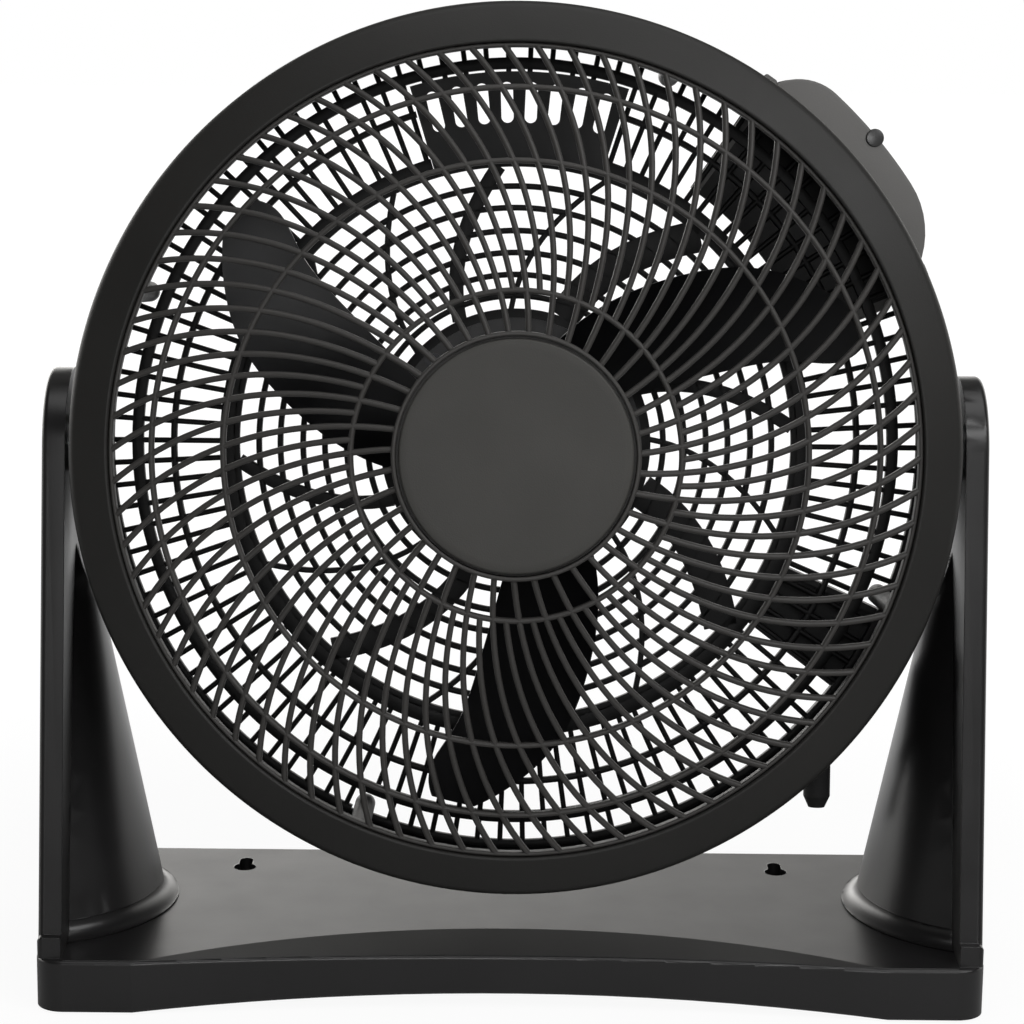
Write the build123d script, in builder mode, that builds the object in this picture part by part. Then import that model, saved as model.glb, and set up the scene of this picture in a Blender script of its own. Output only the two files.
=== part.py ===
from build123d import *
import os
from math import cos, degrees, radians, sin, sqrt, tan

# An air circulator: a round fan head that tilts between two columns on a flat base.
# Millimetres. +Z is up, the fan blows towards -Y, and the origin is on the floor under the pivot.

# ---- the head's place ----
ring_clearance = 43.0  # from the floor up to the head ring, at the tilt axis's height
head_tilt = 7.0  # the fan axis points up by this much at rest, in degrees

# ---- head ring: bezel and rear housing, measured from the fan axis and along it from the pivot ----
ring_radius = 185.5
bezel_opening = 168.2  # radius inside the bezel's lip
bezel_front = 50.5  # the lip's front edge
bezel_shoulder = 43.0  # where the bezel's face meets its side
shoulder_bevel = 3.0
bezel_face_wall = 3.7  # wall behind the bezel's face at the lip
bezel_side_wall = 1.6  # and at its shoulder, measured along the fan axis
ring_wall = 2.5
ring_joint = 12.0  # where bezel and rear housing meet
housing_back = -30.0
housing_back_radius = 181.0
housing_knee = -14.0  # where the side starts to taper
knee_step = 1.0  # the inner wall turns this much further forward
flange_inner = 176.6  # rear flange that the rear grille seats on
flange_thickness = 2.5
screw_angle = 68.0  # first of the screw tubes round the ring
screw_count = 4
tube_circle = 172.4
tube_radius = 4.4
tube_front = 40.0
tube_screw_length = 56.0
tube_screw_head = 3.0

# ---- front grille ----
lip_depth = 5.5  # length of the bezel's lip
grille_fit = 0.2
rim_width = 1.7
rim_seat = 3.0  # how far the rim reaches behind the bezel's lip
dome_front_at_rim = 48.0
dome_front_at_hub = 66.0
bar_depth = 4.0
bar_width = 2.4
thin_ring_width = 2.3
hub_ring_outer = 51.0
hub_ring_wall = 1.8
grille_rings = (67.5, 120.0, 150.0)
long_bars = 39
bar_sweep = 21.3  # how far a bar turns between the hub ring and the rim, in degrees
bar_bend = 0.41  # share of that turn made by the middle of the bar
bar_phase = 1.8  # angle of the first long bar at the hub
hub_plate = 2.0
hub_ring_proud = 1.0  # the hub ring stands this far ahead of the dome
cap_gap = 1.2
cap_front_proud = 1.0
cap_bevel = 0.8
cap_wall = 2.0

# ---- rear grille ----
rear_bar_depth = 4.0
rear_bars = 110
rear_bar_width = 2.1
rear_border = (162.2, 167.2)
rear_rim = (175.0, 176.4)  # outermost ring, just inside the housing's flange
rear_band = (120.3, 129.0)
inner_rings = (64.5, 73.7, 83.2, 92.7, 102.6, 111.9)
inner_ring_width = 2.6
spoke_pairs = 8
spoke_first = 4.0  # angle of the first broad spoke's outer end
spoke_sweep = 21.0  # a spoke turns this much from the band to the hub
broad_spoke = 4.2
slim_spoke = 2.2
mount_gap = 2.5  # the motor passes through the rear grille with this much room
mount_width = 14.5
seat_lip = 1.6  # the grille's lip lies on the housing's flange

# ---- carry handle, a pocket let into the rear grille at the top ----
handle_half_angle = 17.0
handle_grip = (123.5, 136.0)  # solid bar below the finger slots
handle_outer = 160.0
handle_depth = 22.0
handle_wall = 2.2
handle_slots = 8
handle_slot_width = 5.2
handle_fit = 0.3

# ---- motor ----
motor_radius = 42.0
motor_wall = 2.0
motor_front = 14.0
motor_joint = -8.0
motor_back = -42.0
stator_length = 24.0
stator_bore = 22.3
rotor_gap = 0.5
tooth_count = 12
winding_inner = 25.0
winding_inset = 5.0  # from the stator's side in to the windings
winding_length = 7.0
shaft_radius = 4.0
running_gap = 0.05
bearing_radius = 8.0
bearing_length = 7.0
shaft_front = 56.0
boss_wall = 2.5  # wall of the bearing seats
seat_margin = 1.0
bolt_radius = 1.6
bolt_inset = 4.4  # from the motor's side in to its bolts
motor_flange_width = 13.0
motor_screw_offset = 8.5  # from the motor's side out to its screws
motor_screw_angle = 45.0
flange_plate = 2.5
cover_depth = 20.0
cover_wall = 2.0
cover_slots = 16

# ---- fan blade ----
blade_count = 3
blade_tip = 152.5
blade_hub_gap = 2.0  # between the motor and the hub around it
blade_hub_wall = 2.5
blade_root_depth = 1.0  # how far a blade runs into the hub's wall
blade_hub_back = 3.0
blade_hub_front = 41.0
blade_middle = 20.0  # station of the blade's middle along the fan axis
blade_thickness = 2.4
blade_camber = 2.6
first_tip_angle = 15.0
sleeve_wall = 5.0  # the blade's sleeve on the shaft
sleeve_length = 13.5
nut_radius = 10.0
nut_length = 9.0

# ---- tilt pivot ----
pivot_boss_radius = 11.5
pivot_boss_depth = 13.0
boss_proud = 0.8
pin_radius = 5.0
pin_head_radius = 8.5
pin_head_thickness = 2.6
pin_seat_depth = 5.0
washer_radius = 12.0

# ---- control pod behind the ring, upper right ----
pod_radii = (136.0, 208.6)
pod_angles = (23.0, 55.5)
pod_depth = 18.0
pod_wall = 2.2
pod_corner = 25.0
pod_tabs = ((197.5, 24.0), (196.5, 55.5))  # ears at the pod's ends, as outer radius and angle
pod_tab_size = (8.0, 9.0, 6.0)  # along the ring, towards the middle and along the fan axis
pod_notch_width = 11.0
pod_notch_depth = 4.0
pod_cover_thickness = 2.5
knob_radius = 15.0
knob_height = 11.0
knob_place = (178.0, 41.0)  # radius and angle of the speed switch
switch_size = (26.0, 26.0, 10.0)
switch_stem_radius = 3.0
capacitor_place = (178.0, 33.0)
capacitor_size = (30.0, 15.0, 13.0)

# ---- cable box and cord gland, lower right of the back ----
box_radii = (129.0, 179.0)
box_angles = (-37.0, -24.0)
duct_radii = (177.2, 190.0)  # cable duct along the ring, from the box to the outlet
duct_angles = (-45.5, -30.0)
box_depth = 14.0
gland_x = 135.5
gland_tip = -160.5
gland_length = 23.5
gland_taper = 5.0  # length of the tapered end
gland_radius = 5.9
gland_tip_radius = 3.6
gland_bore = 2.8

# ---- stand ----
base_depth = 156.0
base_ledge = 1.0  # the base stands this far out beyond the columns
base_height = 23.0
foot_height = 1.0  # the feet stand this far out below the skirt
base_wall = 2.6
front_corner = 12.0
rear_corner = 22.0
front_hollow = 12.0  # how far the front edge is drawn back in the middle
front_hollow_half = 158.0
arch_height = 5.5
arch_half = 158.0
facet_setback = 35.0  # the sloping facet behind the front rim, in the middle
facet_drop = 4.0
facet_half = 158.0
seam = (1.5, 2.3, 0.9)  # groove behind the front rim: from, to, depth
keyhole_spacing = 243.0
keyhole_y = 50.0
keyhole_head_radius = 5.0
keyhole_slot = 6.0
keyhole_travel = 10.0
keyhole_collar = 2.4
column_thickness = 10.0
column_top_radius = 32.5
column_foot_depth = 142.0
column_toe = (3.0, 9.0)  # block at the column's foot: how far out in front and behind, and how high
column_edge = 2.5
column_wall = 2.6
ring_gap = 2.5  # from the ring's side to the column, taken up by the washers
bulge_reach = 33.5  # how far the column's foot swells inwards
bulge_half_depth = 56.0
bulge_y = 8.0
bulge_top = 200.0
bulge_flare = 7.0  # radius of the hollow that leads the bulge into the base
bulge_toe = 0.6  # thickness at the flare's outer edge
sweep_gap = 2.5  # room for the ring's corner as the head tilts past the bulge
rib_thickness = 2.0
rib_count = 5
foot_pad_radius = 9.0
foot_pad_thickness = 4.0
foot_x = 176.0
foot_y = 57.0
screw_radius = 1.9
screw_head_radius = 3.6
screw_head_height = 2.4
column_screw_length = 16.0

# ---- small sizes that several pieces share ----
screw_clearance = 0.2
screw_setback = 0.5
cap_clearance = 0.4
bar_overlap = 0.5  # how far a bar runs into the ring that carries it
spoke_bend = 0.56  # share of a spoke's turn that is made by its middle
ring_sides = 32
vent_length = 18.0
vent_width = 3.0
stator_slot_width = 3.0
stator_yoke = 5.7  # iron left outside the slots
slot_mouth = 2.0  # the slots open this far into the bore
bolt_head_radius = 3.2
cover_taper = 5.0
cover_bevel = 2.4
cover_slot_circle = 29.5
cover_slot_length = 16.0
cover_slot_width = 2.2
pod_screw_places = ((145.0, 30.5), (145.0, 51.5), (196.0, 49.5))
pod_post_radius = 4.0
stem_clearance = 0.4
knob_lift = 0.6
knob_skirt = 3.0
knob_grip = 9.0
knob_rim = 0.5  # the grip ends this far inside the skirt's edge
knob_top = 2.0  # thickness over the stem
stem_root = 2.0  # the stem ends this far above the switch's floor
outlet_width = 16.4
outlet_top = -126.0
gland_collar = 4.8
gland_flange = 1.5
gland_flange_radius = 5.6
base_edge = 1.6
rib_bottom = 8.0
rib_front = -34.0
column_screws = ((176.0, -22.0), (176.0, 32.0))

# ---- places that follow from those sizes ----
pivot_height = ring_radius + ring_clearance  # height of the tilt axis, which crosses the fan axis
forward = Vector(0, -cos(radians(head_tilt)), sin(radians(head_tilt)))
head = Plane(origin=(0, 0, pivot_height), x_dir=(1, 0, 0), z_dir=forward)
section = Plane(origin=head.origin, x_dir=head.x_dir, z_dir=-head.y_dir)  # x = radius, y = forward
fan_axis = Axis(head.origin, head.z_dir)
column_inner = ring_radius + ring_gap
column_outer = column_inner + column_thickness
rear_front_face = housing_back + rear_bar_depth
stator_back = (motor_front + motor_back) / 2 - stator_length / 2
stator_front = stator_back + stator_length
stator_radius = motor_radius - motor_wall
stator_slot = (stator_radius - stator_bore - stator_yoke, stator_slot_width)
winding_radii = (winding_inner, stator_radius - winding_inset)
bolt_circle = motor_radius - bolt_inset
motor_flange_radius = motor_radius + motor_flange_width
motor_screw_circle = motor_radius + motor_screw_offset
mount_ring = (motor_radius + mount_gap, motor_radius + mount_gap + mount_width)
blade_hub_radius = motor_radius + blade_hub_gap + blade_hub_wall
blade_root = blade_hub_radius - blade_root_depth
rim_inner = bezel_opening - grille_fit - rim_width

os.makedirs("parts", exist_ok=True)


def polar(radius, angle):
    """A point at this radius and angle, counter-clockwise from +X as seen from the front."""
    return (radius * cos(radians(angle)), radius * sin(radians(angle)))


def band(inner, outer, back, front):
    """A rectangle in the section plane, between two radii and two stations along the fan axis."""
    with Locations(((inner + outer) / 2, (back + front) / 2)):
        Rectangle(outer - inner, front - back)


def sector(inner, outer, start, end):
    """A piece of a ring between two angles."""
    with BuildSketch(mode=Mode.PRIVATE) as piece:
        with BuildLine():
            outside = CenterArc((0, 0), outer, start, end - start)
            inside = CenterArc((0, 0), inner, start, end - start)
            Line(outside @ 0, inside @ 0)
            Line(outside @ 1, inside @ 1)
        make_face()
    return piece.sketch


def screw_tubes(clearance):
    """The screw tubes round the ring with their webs to the wall, this much larger all round."""
    web_length = ring_radius - ring_wall / 2 - tube_circle
    with BuildSketch(mode=Mode.PRIVATE) as tubes:
        with PolarLocations(tube_circle, screw_count, start_angle=screw_angle):
            Circle(tube_radius + clearance)
        with PolarLocations(tube_circle + web_length / 2, screw_count, start_angle=screw_angle):
            Rectangle(web_length, ring_wall + 2 * clearance)
    return tubes.sketch


def save(piece, name):
    """Labels a finished piece and writes its file."""
    piece.part.label = name
    export_step(piece.part, f"parts/{name}.step")


# ---- front bezel ----
lip_back = bezel_front - lip_depth
with BuildPart() as front_bezel:
    with BuildSketch(section) as profile:
        with BuildLine():
            Polyline(
                (ring_radius, ring_joint),
                (ring_radius, bezel_shoulder),
                (bezel_opening, bezel_front),
                (bezel_opening, lip_back),
                (bezel_opening + ring_wall, lip_back),
                (bezel_opening + ring_wall, bezel_front - bezel_face_wall),
                (ring_radius - ring_wall, bezel_shoulder - bezel_side_wall),
                (ring_radius - ring_wall, ring_joint),
                close=True,
            )
        make_face()
        shoulder = profile.vertices().group_by(Axis.X)[-1].sort_by(Axis.Y)[-1]
        chamfer(shoulder, shoulder_bevel)
    revolve(axis=fan_axis)
    with BuildSketch(head.offset(ring_joint)):
        add(screw_tubes(0))
    extrude(amount=tube_front - ring_joint)
    with BuildSketch(head.offset(ring_joint)):
        with PolarLocations(tube_circle, screw_count, start_angle=screw_angle):
            Circle(screw_radius)
    extrude(amount=tube_front - ring_joint - ring_wall, mode=Mode.SUBTRACT)
save(front_bezel, "front_bezel")

# ---- front grille: spiral bars and thin rings on a shallow dome ----
bar_start = hub_ring_outer - hub_ring_wall / 2
bar_end = bezel_opening - grille_fit - rim_width / 2
dome_fall = dome_front_at_hub - dome_front_at_rim
dome_curve = (bar_end**2 - bar_start**2) / (2 * dome_fall)


def dome_station(radius):
    """How far ahead of the pivot the dome's front face is at this radius."""
    return dome_front_at_hub - (radius**2 - bar_start**2) / (2 * dome_curve)


def bar_angle(radius):
    """How far a bar has turned at this radius: a circular arc in plan, to within a bar's width."""
    share = (radius - bar_start) / (bar_end - bar_start)
    return bar_sweep * (share * (4 * bar_bend - 1) + share**2 * (2 - 4 * bar_bend))


def spiral_bar(start):
    """A bar from this radius out to the rim."""
    middle = (start + bar_end) / 2
    with BuildSketch(mode=Mode.PRIVATE) as bar:
        with BuildLine():
            ThreePointArc(*[polar(radius, bar_angle(radius)) for radius in (start, middle, bar_end)])
        trace(line_width=bar_width)
    return bar.sketch


dome_radii = (bar_start, (bar_start + bar_end) / 2, bar_end)
rim_back = lip_back - rim_seat
# It is shaped upright about the origin, then placed on the head.
with BuildPart() as upright_grille:
    with BuildSketch():
        for ring in grille_rings:
            with BuildSketch(mode=Mode.PRIVATE) as hoop:
                Circle(ring + thin_ring_width / 2)
                Circle(ring - thin_ring_width / 2, mode=Mode.SUBTRACT)
            add(hoop.sketch)
        with PolarLocations(0, long_bars, start_angle=bar_phase):
            add(spiral_bar(bar_start))
        with PolarLocations(0, long_bars, start_angle=bar_phase + 180 / long_bars):
            add(spiral_bar(grille_rings[0]))
    extrude(amount=dome_front_at_hub + bar_depth)
    with BuildSketch(Plane.XZ):
        with BuildLine():
            crown = ThreePointArc(*[(radius, dome_station(radius)) for radius in dome_radii])
            hollow = ThreePointArc(*[(radius, dome_station(radius) - bar_depth) for radius in dome_radii])
            Line(crown @ 0, hollow @ 0)
            Line(crown @ 1, hollow @ 1)
        make_face()
    revolve(axis=Axis.Z, mode=Mode.INTERSECT)
    with BuildSketch(Plane.XZ):
        rim_outer = bezel_opening - grille_fit
        band(rim_inner, rim_outer, rim_back, dome_front_at_rim)
        band(rim_inner, bezel_opening + ring_wall, rim_back, lip_back)
        hub_back = dome_front_at_hub - 2 * bar_depth
        band(hub_ring_outer - hub_ring_wall, hub_ring_outer, hub_back, dome_front_at_hub + hub_ring_proud)
        band(0, hub_ring_outer, hub_back, hub_back + hub_plate)
    revolve(axis=Axis.Z)
with BuildPart() as front_grille:
    add(upright_grille.part.moved(head.location))
save(front_grille, "front_grille")

# ---- plain disc over the grille's hub ----
cap_radius = hub_ring_outer - hub_ring_wall - cap_gap
cap_back = hub_back + hub_plate
cap_front = dome_front_at_hub + cap_front_proud
with BuildPart() as hub_cap:
    with BuildSketch(section) as profile:
        band(0, cap_radius, cap_front - cap_wall, cap_front)
        band(cap_radius - cap_wall, cap_radius, cap_back, cap_front)
        rim_corner = profile.vertices().group_by(Axis.X)[-1].sort_by(Axis.Y)[-1]
        chamfer(rim_corner, cap_bevel)
    revolve(axis=fan_axis)
save(hub_cap, "hub_cap")

# ---- rear housing: tapered drum with a rear flange, screw tubes and pivot bosses ----
boss_outer = ring_radius + boss_proud
flange_front = housing_back + flange_thickness
side_face = Plane(origin=head.origin, x_dir=(0, 1, 0), z_dir=(1, 0, 0))  # square to the tilt axis
with BuildPart() as rear_housing:
    with BuildSketch(section):
        with BuildLine():
            Polyline(
                (ring_radius, ring_joint),
                (ring_radius, housing_knee),
                (housing_back_radius, housing_back),
                (flange_inner, housing_back),
                (flange_inner, flange_front),
                (housing_back_radius - ring_wall, flange_front),
                (ring_radius - ring_wall, housing_knee + knee_step),
                (ring_radius - ring_wall, ring_joint),
                close=True,
            )
        make_face()
    revolve(axis=fan_axis)
    with BuildSketch(head.offset(housing_back)):
        add(screw_tubes(0))
        Circle(housing_back_radius, mode=Mode.INTERSECT)
    extrude(amount=housing_knee - housing_back)
    with BuildSketch(head.offset(housing_knee)):
        add(screw_tubes(0))
    extrude(amount=ring_joint - housing_knee)
    for side in (-1, 1):
        with BuildSketch(side_face.offset(side * (boss_outer - pivot_boss_depth))):
            Circle(pivot_boss_radius)
        extrude(amount=side * pivot_boss_depth)
        with BuildSketch(side_face.offset(side * boss_outer)):
            Circle(pin_radius)
        extrude(amount=-side * (pivot_boss_depth - ring_wall), mode=Mode.SUBTRACT)
    with BuildSketch(head.offset(housing_back)):
        with PolarLocations(tube_circle, screw_count, start_angle=screw_angle):
            Circle(screw_radius + screw_clearance)
    extrude(amount=ring_joint - housing_back, mode=Mode.SUBTRACT)
    with BuildSketch(head.offset(housing_back)):
        with PolarLocations(tube_circle, screw_count, start_angle=screw_angle):
            Circle(tube_screw_head + screw_clearance)
    extrude(amount=screw_head_height, mode=Mode.SUBTRACT)
save(rear_housing, "rear_housing")

with BuildPart() as housing_screws:
    with BuildSketch(head.offset(housing_back)):
        with PolarLocations(tube_circle, screw_count, start_angle=screw_angle):
            Circle(tube_screw_head)
    extrude(amount=screw_head_height)
    with BuildSketch(head.offset(housing_back)):
        with PolarLocations(tube_circle, screw_count, start_angle=screw_angle):
            Circle(screw_radius)
    extrude(amount=tube_screw_length)
save(housing_screws, "housing_screws")

# ---- rear grille: straight bars outside, rings and swept spokes inside, motor mount in the middle ----
handle_angles = (90 - handle_half_angle, 90 + handle_half_angle)
handle_fit_angle = degrees(handle_fit / handle_grip[0])


def spoke(angle, width):
    """A curved spoke from the band to the motor mount, turning against the front bars."""
    with BuildSketch(mode=Mode.PRIVATE) as strip:
        with BuildLine():
            ThreePointArc(
                polar(rear_band[0] + bar_overlap, angle),
                polar((rear_band[0] + mount_ring[1]) / 2, angle + spoke_sweep * spoke_bend),
                polar(mount_ring[1] - bar_overlap, angle + spoke_sweep),
            )
        trace(line_width=width)
    return strip.sketch


with BuildPart() as rear_grille:
    with BuildSketch(head.offset(housing_back)):
        for inner, outer in (rear_rim, rear_border, rear_band, mount_ring):
            with BuildSketch(mode=Mode.PRIVATE) as hoop:
                Circle(outer)
                Circle(inner, mode=Mode.SUBTRACT)
            add(hoop.sketch)
        for radius in inner_rings:
            with BuildSketch(mode=Mode.PRIVATE) as hoop:
                RegularPolygon(radius + inner_ring_width / 2, ring_sides)
                RegularPolygon(radius - inner_ring_width / 2, ring_sides, mode=Mode.SUBTRACT)
            add(hoop.sketch)
        with PolarLocations((rear_band[1] + rear_rim[0]) / 2, rear_bars):
            Rectangle(rear_rim[0] - rear_band[1] + 2 * bar_overlap, rear_bar_width)
        for pair in range(spoke_pairs):
            pair_angle = spoke_first + pair * 360 / spoke_pairs
            add(spoke(pair_angle, broad_spoke))
            add(spoke(pair_angle + 180 / spoke_pairs, slim_spoke))
        window = sector(
            handle_grip[0] - handle_fit,
            handle_outer + handle_fit,
            handle_angles[0] - handle_fit_angle,
            handle_angles[1] + handle_fit_angle,
        )
        add(window, mode=Mode.SUBTRACT)
        with PolarLocations(motor_screw_circle, screw_count, start_angle=motor_screw_angle):
            Circle(screw_radius, mode=Mode.SUBTRACT)
    extrude(amount=rear_bar_depth)
    with BuildSketch(head.offset(flange_front)):
        Circle(rear_rim[1] + seat_lip)
        Circle(rear_rim[0], mode=Mode.SUBTRACT)
    extrude(amount=rear_front_face - flange_front)
    with BuildSketch(head.offset(housing_back)):
        add(screw_tubes(grille_fit))
    extrude(amount=rear_bar_depth, mode=Mode.SUBTRACT)
save(rear_grille, "rear_grille")

# ---- carry handle: finger pocket with a slotted floor and a solid grip ----
pocket_floor = housing_back + handle_depth
with BuildPart() as carry_handle:
    with BuildSketch(head.offset(housing_back)):
        add(sector(handle_grip[0], handle_outer, *handle_angles))
    extrude(amount=handle_depth)
    wall_angle = degrees(handle_wall / handle_grip[1])
    finger_angles = (handle_angles[0] + wall_angle, handle_angles[1] - wall_angle)
    with BuildSketch(head.offset(housing_back)):
        add(sector(handle_grip[1], handle_outer - handle_wall, *finger_angles))
    extrude(amount=handle_depth - handle_wall, mode=Mode.SUBTRACT)
    slot_length = handle_outer - handle_grip[1] - 3 * handle_wall
    slot_pitch = (finger_angles[1] - finger_angles[0]) / handle_slots
    with BuildSketch(head.offset(pocket_floor)):
        for k in range(handle_slots):
            angle = finger_angles[0] + (k + 0.5) * slot_pitch
            middle = handle_grip[1] + handle_wall + slot_length / 2
            with Locations(Location(polar(middle, angle), angle)):
                SlotOverall(slot_length, handle_slot_width)
    extrude(amount=-handle_wall, mode=Mode.SUBTRACT)
save(carry_handle, "carry_handle")

# ---- motor ----
bell_inner = motor_radius - motor_wall
with BuildPart() as motor_front_bell:
    with BuildSketch(section):
        band(bell_inner, motor_radius, motor_joint, motor_front)
        band(bearing_radius, motor_radius, motor_front - motor_wall, motor_front)
        seat_back = motor_front - bearing_length - seat_margin
        band(bearing_radius, bearing_radius + boss_wall, seat_back, motor_front)
    revolve(axis=fan_axis)
    with BuildSketch(head.offset(motor_front)):
        with PolarLocations(bolt_circle, screw_count, start_angle=motor_screw_angle):
            Circle(bolt_radius)
        with PolarLocations((bearing_radius + bell_inner) / 2, screw_count * 2):
            Rectangle(vent_length, vent_width)
    extrude(amount=-motor_wall, mode=Mode.SUBTRACT)
save(motor_front_bell, "motor_front_bell")

with BuildPart() as motor_rear_bell:
    with BuildSketch(section):
        band(bell_inner, motor_radius, motor_back, motor_joint)
        band(bearing_radius, motor_radius, motor_back, motor_back + motor_wall)
        seat_front = motor_back + bearing_length + seat_margin
        band(bearing_radius, bearing_radius + boss_wall, motor_back, seat_front)
        band(bell_inner, motor_flange_radius, rear_front_face, rear_front_face + flange_plate)
    revolve(axis=fan_axis)
    with BuildSketch(head.offset(motor_back)):
        with PolarLocations(bolt_circle, screw_count, start_angle=motor_screw_angle):
            Circle(bolt_radius)
    extrude(amount=motor_wall, mode=Mode.SUBTRACT)
    with BuildSketch(head.offset(rear_front_face)):
        with PolarLocations(motor_screw_circle, screw_count, start_angle=motor_screw_angle):
            Circle(screw_radius)
    extrude(amount=flange_plate, mode=Mode.SUBTRACT)
save(motor_rear_bell, "motor_rear_bell")

with BuildPart() as stator:
    with BuildSketch(head.offset(stator_back)):
        Circle(stator_radius)
        Circle(stator_bore, mode=Mode.SUBTRACT)
        with PolarLocations(stator_bore + stator_slot[0] / 2, tooth_count):
            Rectangle(stator_slot[0] + slot_mouth, stator_slot[1], mode=Mode.SUBTRACT)
        with PolarLocations(bolt_circle, screw_count, start_angle=motor_screw_angle):
            Circle(bolt_radius, mode=Mode.SUBTRACT)
    extrude(amount=stator_length)
save(stator, "stator")

with BuildPart() as windings:
    with BuildSketch(section):
        band(*winding_radii, stator_back - winding_length, stator_back)
        band(*winding_radii, stator_front, stator_front + winding_length)
    revolve(axis=fan_axis)
save(windings, "windings")

with BuildPart() as rotor_core:
    with BuildSketch(section):
        band(shaft_radius, stator_bore - rotor_gap, stator_back, stator_front)
    revolve(axis=fan_axis)
save(rotor_core, "rotor_core")

with BuildPart() as motor_shaft:
    with BuildSketch(section):
        band(0, shaft_radius, motor_back + seat_margin, shaft_front)
    revolve(axis=fan_axis)
save(motor_shaft, "motor_shaft")

with BuildPart() as bearings:
    with BuildSketch(section):
        band(shaft_radius + running_gap, bearing_radius, motor_back, motor_back + bearing_length)
        band(shaft_radius + running_gap, bearing_radius, motor_front - bearing_length, motor_front)
    revolve(axis=fan_axis)
save(bearings, "bearings")

with BuildPart() as motor_bolts:
    with BuildSketch(head.offset(motor_back)):
        with PolarLocations(bolt_circle, screw_count, start_angle=motor_screw_angle):
            Circle(bolt_radius)
    extrude(amount=motor_front - motor_back)
    with BuildSketch(head.offset(motor_back)):
        with PolarLocations(bolt_circle, screw_count, start_angle=motor_screw_angle):
            RegularPolygon(bolt_head_radius, 6)
    extrude(amount=-screw_head_height)
save(motor_bolts, "motor_bolts")

with BuildPart() as motor_screws:
    with BuildSketch(head.offset(rear_front_face + flange_plate)):
        with PolarLocations(motor_screw_circle, screw_count, start_angle=motor_screw_angle):
            Circle(screw_head_radius)
    extrude(amount=screw_head_height)
    with BuildSketch(head.offset(rear_front_face + flange_plate)):
        with PolarLocations(motor_screw_circle, screw_count, start_angle=motor_screw_angle):
            Circle(screw_radius)
    extrude(amount=-(flange_plate + rear_bar_depth - screw_setback))
save(motor_screws, "motor_screws")

# ---- vented cover over the motor's back ----
cover_back = housing_back - cover_depth
cover_radius = (mount_ring[0] + mount_ring[1]) / 2 + cover_wall
with BuildPart() as motor_cover:
    with BuildSketch(section) as profile:
        with BuildLine():
            Polyline(
                (cover_radius, housing_back),
                (cover_radius - cover_taper, cover_back),
                (0, cover_back),
                (0, cover_back + cover_wall),
                (cover_radius - cover_taper - cover_wall, cover_back + cover_wall),
                (cover_radius - cover_wall, housing_back),
                close=True,
            )
        make_face()
        rear_corner_point = profile.vertices().group_by(Axis.Y)[0].sort_by(Axis.X)[-1]
        chamfer(rear_corner_point, cover_bevel)
    revolve(axis=fan_axis)
    with BuildSketch(head.offset(cover_back)):
        with PolarLocations(cover_slot_circle, cover_slots):
            Rectangle(cover_slot_length, cover_slot_width)
    extrude(amount=cover_wall, mode=Mode.SUBTRACT)
save(motor_cover, "motor_cover")

# ---- fan blade: a cup-shaped hub over the motor and three broad swept blades ----
# Plan outline of one blade, as radius and angle behind its leading tip.
leading_edge = ((blade_root, 12.5), (70.5, 8.0), (98.0, 5.6), (124.0, 3.0), (143.0, 0.6))
trailing_edge = ((blade_root, 57.0), (70.5, 45.0), (98.0, 33.5), (124.0, 23.8), (142.0, 15.0))
tip_leading = (blade_tip, 2.0)
tip_middle = (blade_tip, 5.5)
tip_trailing = (blade_tip, 9.0)
# Radius, middle angle, half angle and slope of the blade's sheet.
blade_sections = (
    (blade_root, 35.0, 27.0, 38.0),
    (70.5, 26.5, 22.0, 31.0),
    (98.0, 19.5, 16.5, 26.0),
    (124.0, 13.5, 13.0, 23.0),
    (154.0, 5.5, 10.5, 21.0),
)


def blade_section(radius, middle, half_angle, slope):
    """A cambered strip across the blade, in the plane square to the radius."""
    centre = head.from_local_coords((*polar(radius, middle), blade_middle))
    tangent = head.from_local_coords((*polar(1, middle + 90), 0)) - head.origin
    outward = head.from_local_coords((*polar(1, middle), 0)) - head.origin
    half = radius * tan(radians(half_angle))
    rise = half * tan(radians(slope))
    lean = sqrt(half**2 + rise**2)
    across = (-rise / lean, half / lean)
    with BuildSketch(Plane(origin=centre, x_dir=tangent, z_dir=outward)) as strip:
        with BuildLine():
            for face in (0.5, -0.5):
                step = (across[0] * blade_thickness * face, across[1] * blade_thickness * face)
                sag = (-across[0] * blade_camber + step[0], -across[1] * blade_camber + step[1])
                ThreePointArc((-half + step[0], -rise + step[1]), sag, (half + step[0], rise + step[1]))
            top = (across[0] * blade_thickness / 2, across[1] * blade_thickness / 2)
            Line((-half + top[0], -rise + top[1]), (-half - top[0], -rise - top[1]))
            Line((half + top[0], rise + top[1]), (half - top[0], rise - top[1]))
        make_face()
    return strip.sketch


with BuildPart() as blade:
    loft(sections=[blade_section(*values) for values in blade_sections])
    with BuildSketch(head.offset(blade_hub_back - blade_hub_front)):
        with BuildLine():
            front_line = Spline(*[polar(r, a) for r, a in leading_edge], polar(*tip_leading))
            ThreePointArc(front_line @ 1, polar(*tip_middle), polar(*tip_trailing))
            Spline(polar(*tip_trailing), *[polar(r, a) for r, a in reversed(trailing_edge)])
            Line(polar(*trailing_edge[0]), front_line @ 0)
        make_face()
    extrude(amount=3 * blade_hub_front, mode=Mode.INTERSECT)

with BuildPart() as fan_blade:
    with BuildSketch(section) as profile:
        band(blade_hub_radius - blade_hub_wall, blade_hub_radius, blade_hub_back, blade_hub_front)
        band(shaft_radius, blade_hub_radius, blade_hub_front - blade_hub_wall, blade_hub_front)
        band(shaft_radius, shaft_radius + sleeve_wall, blade_hub_front - sleeve_length, blade_hub_front)
    revolve(axis=fan_axis)
    for k in range(blade_count):
        add(blade.part.rotate(fan_axis, first_tip_angle + k * 360 / blade_count))
save(fan_blade, "fan_blade")

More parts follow.
